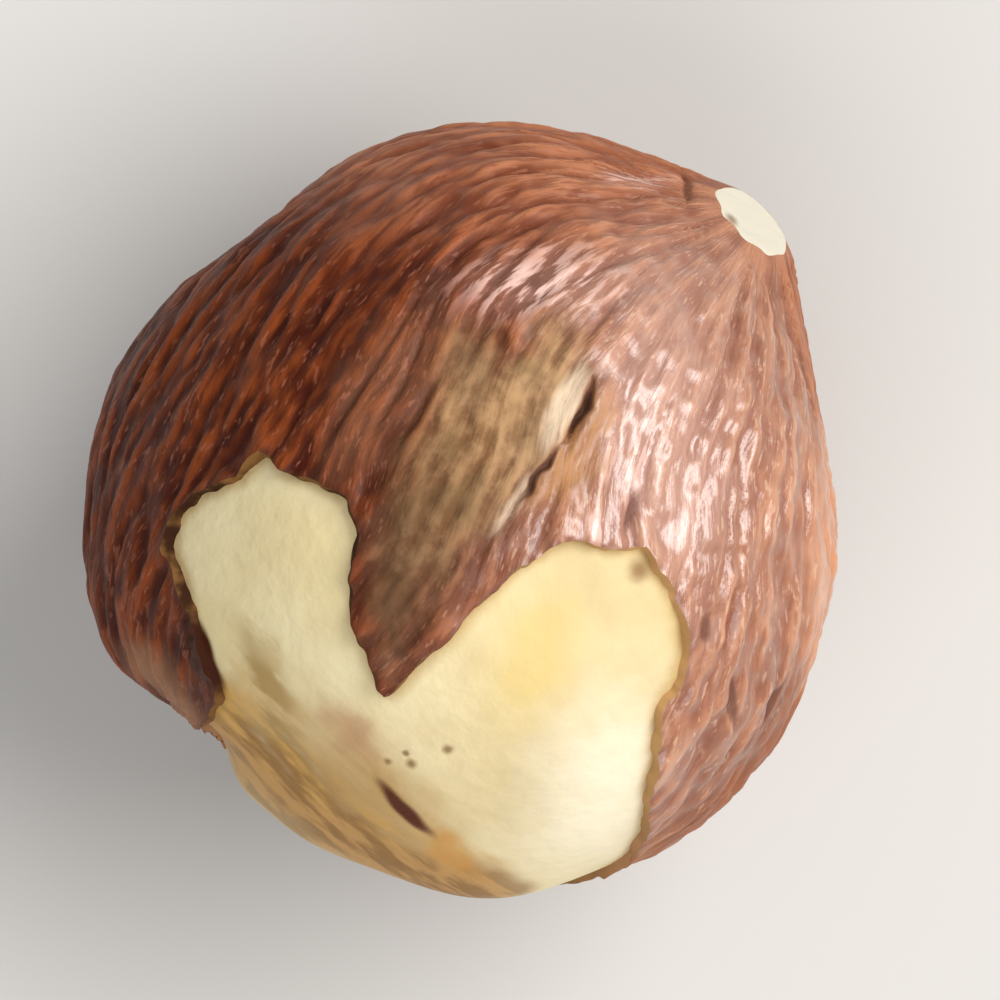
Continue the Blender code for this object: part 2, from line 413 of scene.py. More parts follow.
ball = quad_ball(CELLS)
whole = directions_of(ball)
coarse_tear = distance_to_outline(skin_map(whole), WINDOW)
coarse_crack = distance_to_line(skin_map(whole), CRACK)
halve_cells(ball, np.minimum(np.abs(coarse_tear), coarse_crack))
print("the blank has", len(ball.faces), "cells")

# %% [markdown]
# ## The torn edge
#
# A tear is a sharp line, and colour alone along a row of cells would look like a staircase. So
# the cells are cut where the tear crosses them, and again a hair's breadth farther in. The strip
# between the two cuts becomes the torn edge itself, which slopes from the skin down to the flesh.
# The chip beside the tip is cut in the same way, but it is a flat facet with no strip.

# %% Cut the window and the chip into the blank
SKIN, FLESH, EDGE = 0, 1, 2
CHIP = toward(1.5, 22)
CHIP_REACH = 7.10
CHIP_FRAY, CHIP_FRAY_SIZE = 0.04, 0.35
ON_THE_LINE = 1e-6


def cut_along(ball, values, name):
    """Cuts every cell that the values change sign in, and keeps the values in a named layer."""
    layer = ball.verts.layers.float.new(name)
    values = np.where(np.abs(values) < ON_THE_LINE, ON_THE_LINE, values)
    for vertex, value in zip(ball.verts, values):
        vertex[layer] = value
    crossing = [e for e in ball.edges if e.verts[0][layer] * e.verts[1][layer] < 0.0]
    on_line = []
    for edge in crossing:
        start, end = edge.verts
        share = start[layer] / (start[layer] - end[layer])
        made = bmesh.utils.edge_split(edge, start, share)[1]
        made.co.normalize()
        made[layer] = 0.0
        on_line.append(made)
    bmesh.ops.connect_verts(ball, verts=on_line)
    return [face for face in ball.faces if sum(vertex[layer] for vertex in face.verts) < 0.0]


def chip_field(directions):
    """How far the body is below the chip's flat facet, and less than 0 where it is cut off."""
    points = directions * MAP_RADIUS
    uneven = LUMP_HEIGHT * grain_noise(points, LUMP_SIZE)
    uneven += CHIP_FRAY * grain_noise(points, CHIP_FRAY_SIZE)
    return CHIP_REACH - (body_radius(directions) + uneven) * (directions @ CHIP)


for face in cut_along(ball, chip_field(directions_of(ball)), "chip"):
    face.material_index = FLESH
for face in cut_along(ball, tear_field(directions_of(ball)), "tear"):
    face.material_index = EDGE
directions = directions_of(ball)
for face in cut_along(ball, tear_field(directions) + edge_width(directions), "inner edge"):
    face.material_index = FLESH
kinds = [face.material_index for face in ball.faces]
print("cells of skin, flesh and torn edge:", [kinds.count(kind) for kind in (SKIN, FLESH, EDGE)])

# %% [markdown]
# ## What each point lies on
#
# Each point has to know what it lies on before it can move. So these cells ask every function
# above once, for all points together, and keep the answers as one long row of numbers each. The
# places are also shaken by noise, because a mark with a plain round edge would look printed.

# %% Ask what each point lies on
SHAKE_SIZE, SHAKE_SHIFT = 0.6, 50.0
BLUR, BEND = 0.35, 0.12

directions = directions_of(ball)
points = directions * MAP_RADIUS
places = skin_map(directions)
tear = tear_field(directions)
furrow = furrows(directions)
streak = streaks(directions)
cork = 1.0 - ease(distance_to_outline(places, CORK_PATCH), -CORK_FADE, 0.0)
crack = crack_field(directions)
crack_gap = distance_to_line(places, CRACK)
shakes = grain_noise(points, SHAKE_SIZE), grain_noise(points + SHAKE_SHIFT, SHAKE_SIZE)
wobble = np.stack(shakes, axis=1)
blurred = places + BLUR * wobble
bent = places + BEND * wobble
crease = np.max([blot(bent, ends, CREASE_WIDTH) for ends in CREASES], axis=0)
print("points with their answers:", len(points))

# %% Find the pale and lit side, the warm side and the upper side
PALE_AND_LIT_SIDE, PALE_WANDER, PALE_START, PALE_FULL = toward(-61, 0), 0.12, -0.35, 0.45
WARM_SIDE, WARM_WANDER, WARM_START, WARM_FULL = toward(-52, 6), 0.03, 0.88, 1.0
TOP_SIDE, TOP_WANDER, TOP_START, TOP_FULL = toward(38, 0), 0.06, 0.55, 0.90
LOW_SHADE, LOW_START, LOW_FULL = 0.70, 0.65, 0.0

# The pale side is partly the skin's own paler colour and partly painted light: it is the side that
# faces the lamp, on the right of the picture.
pale_and_lit_side = ease(directions @ PALE_AND_LIT_SIDE + PALE_WANDER * wobble[:, 0], PALE_START, PALE_FULL)
warm_side = ease(directions @ WARM_SIDE + WARM_WANDER * wobble[:, 1], WARM_START, WARM_FULL)
top_side = ease(directions @ TOP_SIDE + TOP_WANDER * wobble[:, 1], TOP_START, TOP_FULL)
low_down = ease(directions[:, 2], LOW_START, LOW_FULL)
# Painted shade: lower down, the pale side is dimmed, standing for less light reaching the lower sides,
# except at the warm right rim.
pale_and_lit_side *= 1.0 - LOW_SHADE * low_down * (1.0 - warm_side)
print("share of the points on the pale side:", round(pale_and_lit_side.mean(), 2))

# %% [markdown]
# ## Every point to its height
#
# Now each point moves out along its own direction, to the skin's relief or to the smoother flesh
# one skin's thickness lower. What stands past the chip's facet moves back onto it, and what
# would reach below the floor stays on it, which gives the small flat spot that the kernel
# rests on.

# %% Add up the relief
CHIP_BLEND = 0.25
CRACK_FADE_END, CRACK_FADE_START = -2.5, 1.5

on_skin = np.clip(tear / edge_width(directions) + 1.0, 0.0, 1.0)
by_chip = ease(CHIP_REACH - body_radius(directions) * (directions @ CHIP), 0.0, CHIP_BLEND)
lumps = LUMP_HEIGHT * grain_noise(points, LUMP_SIZE)
skin_height = EDGE_LIFT * (1.0 - ease(tear, 0.0, EDGE_LIFT_WIDTH))
skin_height -= FURROW_DEPTH * (1.0 - CORK_FURROW_SHARE * cork) * furrow
skin_height += STREAK_DEPTH * streak
skin_height += WRINKLE_HEIGHT * pale_and_lit_side * grain_noise(points, WRINKLE_SIZE)
skin_height += CORK_HEIGHT * cork * grain_noise(points, CORK_GRAIN)
skin_height -= CORK_PIT_DEPTH * cork * ease(grain_noise(points, CORK_PIT_SIZE), 0.0, 0.5)
skin_height += CRACK_LIP * (1.0 - ease(crack_gap, CRACK_LIP_START, CRACK_LIP_END))
crack_floor = (CRACK_DEPTH + CRACK_LIP) * (SHUT_SHARE + (1.0 - SHUT_SHARE) * gape(places))
crack_floor *= ease(places[:, 0], CRACK_FADE_END, CRACK_FADE_START)
skin_height -= crack_floor * (1.0 - ease(crack, 0.0, 1.0))
skin_height -= CREASE_DEPTH * crease
height = lumps + on_skin * skin_height * by_chip - (1.0 - on_skin) * SKIN_THICKNESS
print("height over the smooth body, in mm:", round(height.min(), 2), "to", round(height.max(), 2))

# %% Move the points, and lay them on the facet and the floor
shape = directions * (body_radius(directions) + height)[:, None]
past_chip = np.maximum(shape @ CHIP - CHIP_REACH, 0.0)
shape = shape - past_chip[:, None] * CHIP + MIDDLE
shape[:, 2] = np.maximum(shape[:, 2], 0.0)
print("points on the floor:", int((shape[:, 2] == 0.0).sum()))

# %% Turn the shape into a mesh
bmesh.ops.recalc_face_normals(ball, faces=ball.faces[:])
for vertex, point in zip(ball.verts, shape):
    vertex.co = point * MM
for edge in ball.edges:
    kinds = {face.material_index for face in edge.link_faces}
    edge.smooth = len(kinds) == 1
for face in ball.faces:
    face.smooth = True
bmesh.ops.triangulate(ball, faces=ball.faces[:])
print("open edges:", sum(not edge.is_manifold for edge in ball.edges))
kernel_mesh = bpy.data.meshes.new("kernel_skin_and_flesh")
ball.to_mesh(kernel_mesh)
ball.free()
kernel = bpy.data.objects.new("kernel_skin_and_flesh", kernel_mesh)
bpy.context.collection.objects.link(kernel)
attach(kernel, "root")
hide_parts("kernel")
print("the kernel has", len(kernel_mesh.polygons), "triangles")

# %% [markdown]
# ## Measures and marks for the finishes
#
# A real kernel has stains and faded places, each in its own spot. Painted highlights, painted
# sheen and painted shade are kept as marks in spots of their own. They could be painted on an
# image, but an image blurs when the camera comes close. So the mesh keeps the relief's measures
# with every point, and how strongly the point carries each mark. A mark is a blot or a line on
# the map, and the finishes further down look it up by its name. The cut along the tear already
# left one measure, which is called tear: how far the tear is.

# %% Keep the relief's measures with the mesh


def keep(name, values):
    """Stores one number, or one row of three, with each point of the mesh."""
    rows = values.ndim == 2
    kind, key = ("FLOAT_VECTOR", "vector") if rows else ("FLOAT", "value")
    kernel_mesh.attributes.new(name, kind, "POINT").data.foreach_set(key, values.ravel())


keep("furrow", furrow)
keep("streak", streak)
keep("lanes", lanes(directions))
keep("crack", crack)
keep("gape", gape(places))
keep("crease", crease)
keep("pale_and_lit_side", pale_and_lit_side)
keep("top_side", top_side)
keep("warm_side", warm_side)
# The widened edge by the tongue's left side also carries a painted shadow, laid on in the torn edge's
# finish.
keep("wide_edge_shadow", blot(places, WIDE_EDGE, WIDE_EDGE_REACH))
keep("place", np.pad(places, ((0, 0), (0, 1))))
print("measures so far:", [measure.name for measure in kernel_mesh.attributes])

# %% Keep the marks on the skin
# The third soft mark is a painted sheen of pinkish grey where light would glint; the others are the
# skin's own marks.
SOFT_MARKS = {
    "cork_fade": (((3.0, 4.3), (-3.2, 2.0)), 1.3),
    "grey_cork": (((2.4, 3.3), (0.9, 1.2)), 0.8),
    "haze": (((7.2, 2.8), (0.4, -5.3)), 2.4),
    "tan_spots": (((3.6, -0.15), (0.2, -1.0)), 0.7),
}
RED_GAP, RED_GAP_REACH, RED_GAP_SHARE = ((1.1, 1.5), (3.7, 2.6)), 0.4, 0.8
CORK_START, CORK_FULL = 0.30, -0.9
PALE_STRIP = ((1.0, ((4.0, 1.05), (0.6, -0.35)), 0.5), (0.8, ((1.8, -0.1), (-1.4, -0.62)), 0.32))
# Painted highlights: an arc and dabs of pinkish white where light would glint on the skin.
HIGHLIGHT_ARC = ((1.6, 4.1), (6.2, 1.0))
HIGHLIGHT_REACH = 1.2
HIGHLIGHT_DABS = (
    (1.0, ((6.8, 4.0), (9.4, 2.4)), 0.45),
    (0.8, ((5.0, -0.3), (0.9, -2.0)), 0.9),
    (1.0, ((1.5, -1.5), (0.7, -2.2)), 0.5),
    (0.6, ((4.4, -2.6), (1.3, -3.4)), 0.9),
)
SLIVER, SLIVER_REACH = ((-8.9, 2.9), (-9.4, 1.4), (-10.2, 1.0), (-12.0, 0.5)), 1.1
LOW_FLAKE, LOW_FLAKE_REACH, LOW_FLAKE_SHARE = ((-2.2, -8.0), (-6.2, -11.0)), 1.3, 0.8


def dabs(rows):
    """The strongest of some crisp blots at each point, each with a share, two ends and a width."""
    return np.max([share * blot(bent, ends, width) for share, ends, width in rows], axis=0)


for name, (ends, half_width) in SOFT_MARKS.items():
    keep(name, blot(blurred, ends, half_width))
red_gap = RED_GAP_SHARE * blot(blurred, RED_GAP, RED_GAP_REACH)
cork_mark = ease(distance_to_outline(blurred, CORK_PATCH), CORK_START, CORK_FULL)
keep("cork", cork_mark * (1.0 - red_gap))
keep("pale_strip", dabs(PALE_STRIP))
keep("gloss", np.maximum(blot(blurred, HIGHLIGHT_ARC, HIGHLIGHT_REACH), dabs(HIGHLIGHT_DABS)))
low_flake = LOW_FLAKE_SHARE * blot(blurred, LOW_FLAKE, LOW_FLAKE_REACH)
keep("sliver", np.maximum(nearness(bent, SLIVER, SLIVER_REACH), low_flake))
print("the cork covers", round(100 * cork_mark.mean(), 1), "% of the points")

# %% Keep the marks on the flesh
SOFT_STAINS = {
    "olive": (((-5.6, 2.6), (-8.0, -2.0)), 0.9),
    "rosy": (((-5.5, -0.4), (-6.1, -2.8)), 0.8),
    "orange": (((-6.3, -4.0), (-6.9, -7.0)), 0.7),
    "halo": (((-6.3, 1.6), (-6.9, -7.2)), 1.75),
    "yellow": (((0.2, -1.9), (-3.6, -3.9)), 1.3),
}
# The dark streak is a stain. The slit is painted shade, dark where a narrow gap lies between a skin
# sliver and the flesh.
CRISP_STAINS_AND_SHADE = {
    "dark_streak": (((-6.2, -2.2), (-6.7, -5.4)), 0.32),
    "slit": (((-6.7, 3.3), (-8.1, 0.6)), 0.4),
}
# The tan band and the tan rim are a stain, and towards the rim they are also painted shade.
TAN_AND_SHADE_BAND = ((-8.6, 0.2), (-8.5, -1.3), (-8.3, -2.5), (-8.3, -3.7), (-8.3, -5.2), (-8.0, -6.8))
TAN_AND_SHADE_RIM = ((-9.9, 0.0), (-9.7, -2.4), (-8.6, -5.2), (-7.1, -7.1))
# The line at the lower right marks a painted pool of light on the flesh.
LIGHT_POOL_LINE = ((-3.4, -7.2), (-2.3, -6.3))
STAIN_SHADE_AND_LIGHT_LINES = {"tan_and_shade_band": (TAN_AND_SHADE_BAND, 2.8), "tan_and_shade_rim": (TAN_AND_SHADE_RIM, 2.2), "bright": (LIGHT_POOL_LINE, 3.2)}

for name, (ends, half_width) in SOFT_STAINS.items():
    keep(name, blot(blurred, ends, half_width))
for name, (ends, half_width) in CRISP_STAINS_AND_SHADE.items():
    keep(name, blot(bent, ends, half_width))
for name, (line, reach) in STAIN_SHADE_AND_LIGHT_LINES.items():
    keep(name, nearness(blurred, line, reach))
print("measures and marks in all:", len(kernel_mesh.attributes))

# %% [markdown]
# ## Mixing a finish
#
# Every finish is a small tree of nodes. Building it node by node takes many alike lines, so this
# helper puts a node in, feeds its inputs and hands back its output. Colours are written as a
# screen shows them, from 0 to 255, and turned into the linear light that Blender mixes.

# %% Turn screen colours into linear light


def paint(red, green, blue):
    """A screen colour as Blender's linear colour."""
    return tuple(((part / 255 + 0.055) / 1.055) ** 2.4 for part in (red, green, blue)) + (1.0,)


print("a mid brown is", [round(part, 3) for part in paint(128, 80, 56)])

# %% Make the helper that mixes finishes


class Finish:
    """A material that is put together node by node."""

    def __init__(self, name):
        self.material = bpy.data.materials.new(name)
        self.material.use_nodes = True
        self.tree = self.material.node_tree
        self.shader = self.tree.nodes["Principled BSDF"]

    def feed(self, socket, value):
        """Links an output to a socket, or sets the socket to a plain value."""
        if isinstance(value, bpy.types.NodeSocket):
            self.tree.links.new(value, socket)
        else:
            socket.default_value = value

    def surface(self, settings):
        """Feeds the shader's sockets, each by its name."""
        for name, value in settings.items():
            self.feed(self.shader.inputs[name], value)

    def add(self, kind, output, inputs, **settings):
        """Adds a node, sets it, feeds its numbered inputs and returns one output."""
        node = self.tree.nodes.new(kind)
        for setting, value in settings.items():
            setattr(node, setting, value)
        for number, value in inputs.items():
            self.feed(node.inputs[number], value)
        return node.outputs[output]

    def kept(self, name, output="Fac"):
        """A measure that was kept with the mesh."""
        return self.add("ShaderNodeAttribute", output, {}, attribute_name=name)

    def axis(self, place, letter):
        """One coordinate of a place."""
        return self.add("ShaderNodeSeparateXYZ", letter, {0: place})

    def stretch(self, place, scales):
        """A place scaled along each axis, which draws noise out where the scale is small."""
        inputs = {0: place, 1: scales}
        return self.add("ShaderNodeVectorMath", "Vector", inputs, operation="MULTIPLY")

    def grain(self, where, scale, detail=3.0, rough=0.55):
        """Cloudy noise from 0 to 1."""
        inputs = {"Vector": where, "Scale": scale, "Detail": detail, "Roughness": rough}
        return self.add("ShaderNodeTexNoise", "Fac", inputs)

    def ramp(self, value, low, high, start=0.0, end=1.0):
        """start below low, end above high, and a smooth change between."""
        inputs = {0: value, 1: low, 2: high, 3: start, 4: end}
        return self.add("ShaderNodeMapRange", 0, inputs, interpolation_type="SMOOTHSTEP")

    def sum(self, operation, first, second):
        """One sum of two numbers, such as ADD or MAXIMUM."""
        return self.add("ShaderNodeMath", 0, {0: first, 1: second}, operation=operation)

    def times(self, first, second):
        """The first number times the second."""
        return self.sum("MULTIPLY", first, second)

    def blend(self, share, first, second):
        """The first colour at 0, the second at 1."""
        return self.add("ShaderNodeMix", 2, {0: share, 6: first, 7: second}, data_type="RGBA")

    def lay(self, colour, share, tone):
        """A colour with a share of a screen colour laid over it."""
        return self.blend(share, colour, paint(*tone))

    def tint(self, colour, tints):
        """A colour with marks laid over it in turn, each with its name, strength and tone."""
        for name, (strength, tone) in tints.items():
            colour = self.lay(colour, self.times(self.kept(name), strength), tone)
        return colour

    def emboss(self, height, distance):
        """Fine relief that is too small to model."""
        inputs = {"Strength": 1.0, "Distance": distance, "Height": height}
        self.feed(self.shader.inputs["Normal"], self.add("ShaderNodeBump", 0, inputs))

    def wear(self):
        """Puts the finish on the kernel, in the next slot."""
        kernel_mesh.materials.append(self.material)


print("a finish can", [skill for skill in vars(Finish) if not skill.startswith("_")])

# %% [markdown]
# ## The skin's brown
#
# The skin is thin dry paper with a dark and a pale side, and its fine streaks are darkest in
# their troughs. The pale side is partly the skin's own colour and partly painted light, paler
# where the lamp falls. A photograph could be laid on instead, but it would hold its own light and
# shadow. So each colour is mixed here, from noise that is drawn out along the furrows, and the
# measures kept with the mesh say where it goes.

# %% Make the grain of the skin
FLECK_SCALE, MOTTLE_SCALE, HAIR_SCALE = 2600.0, 520.0, 4.5
HAIR_DRAWN, GLINT_DRAWN = (1.0, 1.0, 0.22), (2.1, 2.1, 0.7)

skin = Finish("hazelnut_skin")
where = skin.add("ShaderNodeTexCoord", "Object", {})
lane = skin.kept("lanes", "Vector")
streak_share = skin.ramp(skin.kept("streak"), -1.5, 1.3)
fleck = skin.grain(where, FLECK_SCALE, 3.0, 0.6)
mottle = skin.grain(where, MOTTLE_SCALE, 3.0, 0.55)
hair = skin.grain(skin.stretch(lane, HAIR_DRAWN), HAIR_SCALE, 3.0, 0.55)
# The dashes are painted glints: pale flecks drawn out along the furrows where light would catch the
# skin.
painted_glints = skin.grain(skin.stretch(lane, GLINT_DRAWN), HAIR_SCALE, 2.0, 0.5)
pale_and_lit_side = skin.kept("pale_and_lit_side")
top_side = skin.kept("top_side")
off_tip = skin.ramp(skin.axis(lane, "Z"), 0.6, 2.6)
print("the skin's grain takes", len(skin.tree.nodes), "nodes")

# %% Mix the brown
trough = skin.blend(top_side, paint(68, 22, 6), paint(124, 64, 40))
crest = skin.blend(top_side, paint(140, 66, 27), paint(188, 120, 84))
# On the pale side the brown is painted paler, partly its own colour and partly painted light.
trough = skin.lay(trough, pale_and_lit_side, (146, 86, 58))
crest = skin.lay(crest, pale_and_lit_side, (190, 130, 94))
brown = skin.blend(streak_share, trough, crest)
brown = skin.lay(brown, skin.ramp(mottle, 0.50, 0.72, 0.0, 0.35), (150, 84, 52))
thin = skin.times(skin.ramp(hair, 0.42, 0.54, 0.6, 0.0), off_tip)
brown = skin.blend(thin, brown, trough)
thick = skin.times(skin.ramp(hair, 0.56, 0.70, 0.0, 0.45), off_tip)
brown = skin.blend(thick, brown, crest)
# Painted glints, pinkish tan on the dark side and nearly white on the pale side.
painted_glint_colour = skin.blend(pale_and_lit_side, paint(168, 104, 78), paint(228, 184, 150))
brown = skin.blend(skin.ramp(painted_glints, 0.58, 0.68, 0.0, 0.5), brown, painted_glint_colour)
fold = skin.times(skin.times(skin.kept("furrow"), 0.5), off_tip)
brown = skin.blend(fold, brown, trough)
print("with the brown it takes", len(skin.tree.nodes), "nodes")

# %% [markdown]
# The same brown is painted with a pinkish grey sheen where light would glint on it, is warmer
# where it is thin over the flesh, and carries painted highlights of nearly white along its crests.
# The low sides are a lighter red brown. These could be lights instead, but then the marks would
# move when the kernel is turned.

# %% Tint the brown
# The first tint is a painted sheen of pinkish grey, standing in for light glinting on the skin.
SKIN_TINTS = {
    "haze": (0.28, (222, 182, 166)),
    "cork_fade": (0.38, (152, 104, 76)),
    "warm_side": (0.45, (236, 164, 112)),
}
HIGHLIGHT_TONE, LOW_TONE = (232, 192, 178), (188, 112, 66)
LOW_TINT_FULL, LOW_TINT_END = 0.0060, 0.0095

brown = skin.tint(brown, SKIN_TINTS)
# Painted highlights: pinkish white laid on the crests inside the highlight marks.
highlight_pattern = skin.ramp(hair, 0.48, 0.60, 0.12, 0.90)
brown = skin.lay(brown, skin.times(skin.kept("gloss"), highlight_pattern), HIGHLIGHT_TONE)
brown = skin.tint(brown, {"sliver": (0.7, (168, 122, 88))})
low = skin.ramp(skin.axis(where, "Z"), LOW_TINT_FULL, LOW_TINT_END, 0.45, 0.0)
low = skin.times(low, skin.ramp(pale_and_lit_side, 0.0, 0.4))
brown = skin.lay(brown, low, LOW_TONE)
print("with its tints it takes", len(skin.tree.nodes), "nodes")

# %% [markdown]
# ## Cork, bare fibres and dark lines
#
# The cork patch is tan and dull, and darker towards the tongue. It could be a finish of its own,
# but then it would need a hard edge, and real cork fades out. So it is laid over the brown, with
# a pale strip of bare fibres along the crack. Creases, the crack and the rim of the tear are
# dark, because little light gets into them.

# %% Mix the cork
TONGUE_END, TONGUE_START = -3.2, 1.2

fibre = skin.sum("ADD", skin.times(streak_share, 0.25), skin.times(fleck, 0.7))
fibre = skin.sum("ADD", fibre, skin.times(hair, 0.6))
tan = skin.blend(skin.ramp(fibre, 0.55, 1.0), paint(122, 84, 52), paint(180, 140, 98))
tan = skin.lay(tan, skin.ramp(mottle, 0.46, 0.60, 0.0, 0.7), (124, 96, 60))
down = skin.axis(skin.kept("place", "Vector"), "X")
tan = skin.lay(tan, skin.ramp(down, TONGUE_END, TONGUE_START, 0.75, 0.0), (88, 56, 38))
tan = skin.tint(tan, {"grey_cork": (0.5, (108, 80, 56))})
spots = skin.times(skin.kept("tan_spots"), skin.ramp(hair, 0.42, 0.58, 0.45, 0.95))
print("with the cork it takes", len(skin.tree.nodes), "nodes")

# %% Lay the cork, the fibres and the dark lines over the brown
colour = skin.blend(skin.kept("cork"), brown, tan)
colour = skin.lay(colour, spots, (182, 128, 72))
bare = skin.sum("ADD", skin.kept("pale_strip"), skin.times(hair, 0.9))
bare = skin.ramp(bare, 0.75, 1.65)
colour = skin.lay(colour, bare, (226, 200, 168))
colour = skin.lay(colour, skin.ramp(skin.kept("crease"), 0.1, 0.9, 0.0, 0.75), (84, 42, 24))
gap = skin.ramp(skin.kept("crack"), 0.35, 1.2, 1.0, 0.0)
gap = skin.times(gap, skin.ramp(skin.kept("gape"), 0.0, 0.6, 0.5, 0.9))
colour = skin.lay(colour, gap, (92, 52, 30))
# The slit is painted shade, dark where a narrow gap would be.
colour = skin.lay(colour, skin.ramp(skin.kept("slit"), 0.0, 0.8, 0.0, 0.9), (58, 26, 12))
rim = skin.ramp(skin.kept("tear"), 0.0, 0.16, 0.55, 0.0)
rim = skin.times(rim, skin.ramp(pale_and_lit_side, 0.0, 1.0, 1.0, 0.3))
colour = skin.lay(colour, rim, (84, 44, 26))
print("skin colours take", len(skin.tree.nodes), "nodes")

# %% [markdown]
# The skin is slightly oily, so its pale, smooth side has a broken sheen, and cork has none.
# Grain finer than the mesh can hold goes into the Bump node, which only tilts the light.

# %% Give the skin its sheen and grain
CORK_ROUGHNESS, COAT_ROUGHNESS = 0.80, 0.33
SKIN_BUMP = 0.00005

patch = skin.sum("MAXIMUM", skin.kept("cork"), spots)
dull = skin.sum("MAXIMUM", skin.sum("MAXIMUM", patch, bare), gap)
dull = skin.sum("MAXIMUM", dull, skin.kept("crease"))
satin = skin.ramp(pale_and_lit_side, 0.0, 1.0, 0.46, 0.32)
oil = skin.times(skin.ramp(pale_and_lit_side, 0.45, 0.95), skin.ramp(dull, 0.0, 0.7, 1.0, 0.0))
skin.surface({
    "Base Color": colour,
    "Roughness": skin.add("ShaderNodeMix", 0, {0: dull, 2: satin, 3: CORK_ROUGHNESS}),
    "Specular IOR Level": skin.ramp(pale_and_lit_side, 0.1, 0.9, 0.15, 0.8),
    "Coat Weight": oil,
    "Coat Roughness": COAT_ROUGHNESS,
})
skin.emboss(skin.sum("ADD", skin.times(fleck, 0.6), hair), SKIN_BUMP)
skin.wear()
print("the skin is dull on the cork and satin elsewhere")

# %% [markdown]
# ## The flesh
#
# The flesh is cream, yellower in the middle, and stained tan and olive along its lower left, as
# flesh is where the skin tore off early. Towards the lower left rim the tan is also painted shade,
# a patch at the lower right is painted light, and the cream is painted lighter on the shaded left
# and darker on the lit right. One plain cream would look like plastic. So clouds of noise mix two
# creams, and the stains are laid over them with their own drawn-out noise.

# %% Mix the cream
CLOUD_SCALE = 320.0
# The first tint is a painted pool of light on the lower right; yellow is the flesh's own stain.
FLESH_TINTS = {"bright": (1.0, (240, 228, 198)), "yellow": (0.6, (222, 194, 118))}

flesh = Finish("hazelnut_flesh")
where = flesh.add("ShaderNodeTexCoord", "Object", {})
place = flesh.kept("place", "Vector")
cloud = flesh.grain(where, CLOUD_SCALE, 3.0, 0.5)
pale_and_lit_side = flesh.kept("pale_and_lit_side")
# Painted light and shade: the cream is laid lighter on the shaded left and darker on the lit pale
# side, which softens the lamp's shading.
dim = flesh.blend(pale_and_lit_side, paint(232, 213, 162), paint(210, 188, 138))
light = flesh.blend(pale_and_lit_side, paint(244, 228, 182), paint(224, 203, 156))
cream = flesh.blend(flesh.ramp(cloud, 0.35, 0.65), dim, light)
cream = flesh.tint(cream, FLESH_TINTS)
print("the cream takes", len(flesh.tree.nodes), "nodes")

# %% Stain it
BAND_DRAWN, BAND_SCALE = (1.0, 0.25, 1.0), 1.9
WARM_STAINS = {"rosy": (0.6, (184, 132, 92)), "orange": (0.7, (204, 142, 58))}

# The tan along the lower left is a stain and, towards the rim, painted shade as well.
band = flesh.grain(flesh.stretch(place, BAND_DRAWN), BAND_SCALE, 3.0, 0.55)
bruise_and_shade = flesh.blend(flesh.ramp(band, 0.40, 0.62), paint(146, 100, 34), paint(206, 158, 80))
bruised_and_shaded = flesh.sum("ADD", flesh.kept("tan_and_shade_band"), flesh.times(band, 1.1))
cream = flesh.blend(flesh.ramp(bruised_and_shaded, 0.65, 1.5, 0.0, 0.95), cream, bruise_and_shade)
low_tan_and_shade = flesh.blend(flesh.ramp(band, 0.42, 0.58), paint(146, 104, 50), paint(188, 142, 84))
cream = flesh.blend(flesh.ramp(flesh.kept("tan_and_shade_rim"), 0.15, 0.8, 0.0, 0.8), cream, low_tan_and_shade)
olive = flesh.times(flesh.kept("olive"), flesh.ramp(band, 0.42, 0.62, 0.75, 0.1))
cream = flesh.lay(cream, olive, (154, 116, 42))
tanned = flesh.times(flesh.kept("halo"), flesh.ramp(band, 0.35, 0.65, 0.9, 0.6))
cream = flesh.lay(cream, tanned, (190, 150, 90))
cream = flesh.tint(cream, WARM_STAINS)
print("with its stains it takes", len(flesh.tree.nodes), "nodes")

# %% [markdown]
# Along the tear the flesh has browned in the air. The chip beside the tip is paler, because it
# is dry inside. A dark streak, the slit at the left, which is painted shade, and a few specks
# finish it. They are small, and colour is enough for them.

# %% Add the browned fringe, the chip's colour and the dark marks
fringe = flesh.sum("ADD", flesh.kept("tear"), flesh.times(cloud, 0.7))
fringe = flesh.times(flesh.ramp(fringe, 0.0, 0.4), 0.65)
cream = flesh.lay(cream, fringe, (172, 134, 62))
cream = flesh.lay(cream, flesh.ramp(flesh.kept("tear"), 0.3, 0.5), (214, 207, 188))
cream = flesh.lay(cream, flesh.ramp(flesh.kept("dark_streak"), 0.1, 0.9), (86, 34, 0))
# The slit is painted shade, dark where a narrow gap would be.
cream = flesh.lay(cream, flesh.ramp(flesh.kept("slit"), 0.1, 0.8), (78, 36, 16))
print("with the dark marks it takes", len(flesh.tree.nodes), "nodes")

# %% Add the specks
SPECKS = (
    (-5.7, -2.6, 0.22),
    (-5.2, -2.7, 0.18),
    (-5.3, -2.95, 0.24),
    (-4.4, -3.2, 0.24),
    (1.1, -3.15, 0.45),
    (9.0, 0.9, 0.35),
)
SPECK_ROUGH_SCALE, SPECK_ROUGHNESS = 5000.0, 0.12
SPECK_HEART, SPECK_SHARE, SPECK_TONE = 0.08, 0.75, (120, 74, 26)

rough = flesh.times(flesh.grain(where, SPECK_ROUGH_SCALE), SPECK_ROUGHNESS)
for along, across, reach in SPECKS:
    ends = {0: place, 1: (along, across, 0.0)}
    gap = flesh.add("ShaderNodeVectorMath", "Value", ends, operation="DISTANCE")
    share = flesh.ramp(flesh.sum("ADD", gap, rough), SPECK_HEART, reach, SPECK_SHARE, 0.0)
    cream = flesh.lay(cream, share, SPECK_TONE)
print("specks on the flesh:", len(SPECKS))

# %% [markdown]
# Fresh flesh is waxy: a little light goes in and comes out again beside it. That is what
# subsurface does, with a reach of about a millimetre for red and less for green and blue.

# %% Make the flesh waxy
PORE_SCALE, FLESH_BUMP = 2600.0, 0.00004

